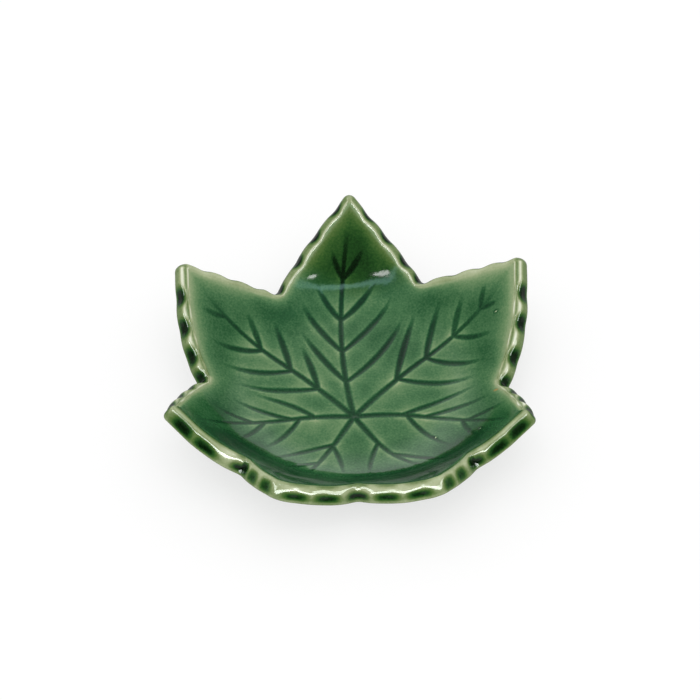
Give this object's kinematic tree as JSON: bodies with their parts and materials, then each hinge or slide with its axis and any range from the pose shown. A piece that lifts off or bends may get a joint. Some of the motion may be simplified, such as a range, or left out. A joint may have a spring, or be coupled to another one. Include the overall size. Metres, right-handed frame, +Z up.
{
  "type": "leaf shaped plate",
  "caption": "Shallow glazed ceramic dish shaped as a lobed maple leaf, with vein grooves, a dented thick rim and a foot ring to stand on.",
  "frame": {"origin": "below the middle of the leaf's outline, on the plane that the foot ring stands on", "axes": "+Y to the point of the top lobe, +X to the right as the picture shows it, +Z up out of the dish"},
  "size_m": [0.1084, 0.1156, 0.0257],
  "materials": {
    "green_glaze": "glossy translucent green glaze, pale where it runs thin on the rim",
    "pooled_glaze": "glossy dark green glaze, pooled thick in the vein grooves",
    "bare_clay": "matte fired buff clay, glazed down its sides"
  },
  "bodies": {
    "root": {"leaf_body": "green_glaze", "foot_ring": "bare_clay", "hub_glaze": "pooled_glaze", "top_vein_glaze": "pooled_glaze", "upper_right_vein_glaze": "pooled_glaze", "lower_right_vein_glaze": "pooled_glaze", "front_right_vein_glaze": "pooled_glaze", "front_left_vein_glaze": "pooled_glaze", "lower_left_vein_glaze": "pooled_glaze", "upper_left_vein_glaze": "pooled_glaze"}
  },
  "joints": []
}
